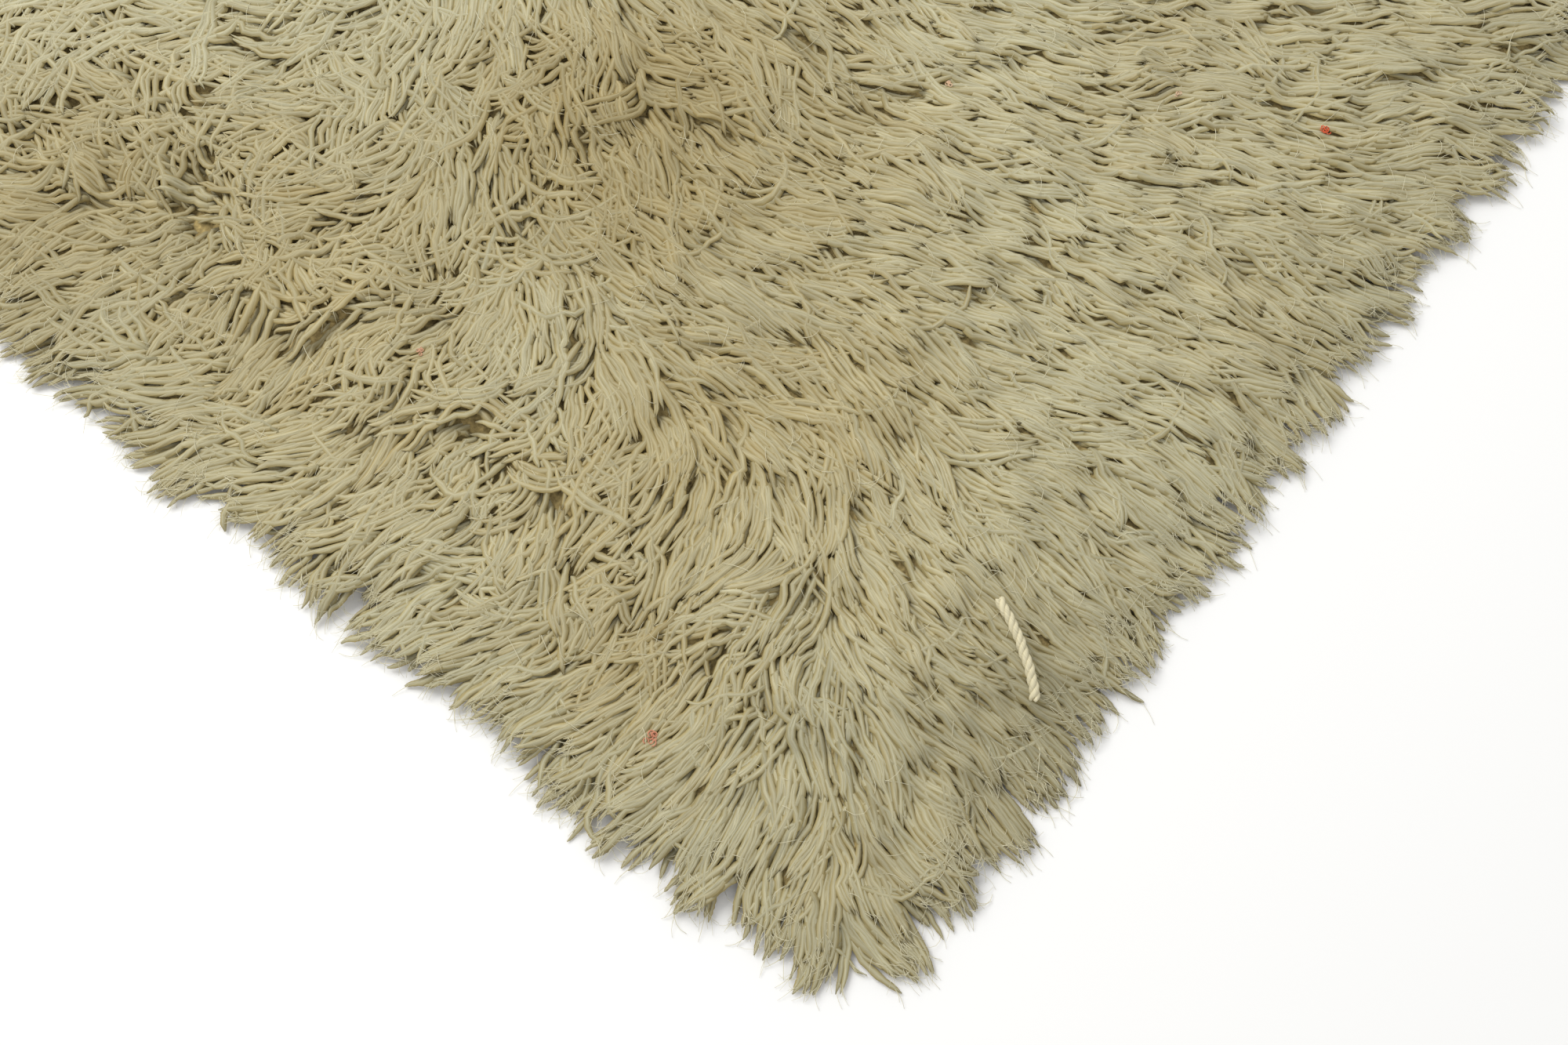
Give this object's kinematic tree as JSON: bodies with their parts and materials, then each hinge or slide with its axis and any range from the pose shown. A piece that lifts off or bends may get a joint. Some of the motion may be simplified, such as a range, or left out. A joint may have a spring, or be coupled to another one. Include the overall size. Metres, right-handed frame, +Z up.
{
  "type": "tulu rug",
  "caption": "Cream wool tulu rug with long shaggy pile knotted into a flat ground weave, its locks drooping over the rim to the floor.",
  "frame": {"origin": "centre of the ground weave's underside, on the floor that the rug lies on", "axes": "+Z up out of the pile, +Y along the warp, the rug's long way, +X along the weft"},
  "size_m": [1.0777, 1.575, 0.0447],
  "materials": {
    "weave_wool": "matt flat-woven undyed wool",
    "pile_wool": "soft lustrous single-ply wool yarn, cream to pale straw",
    "plied_wool": "firm three-ply wool yarn, pale cream"
  },
  "bodies": {
    "root": {"ground_weave": "weave_wool", "pile": "pile_wool", "plied_tuft": "plied_wool"}
  },
  "joints": []
}
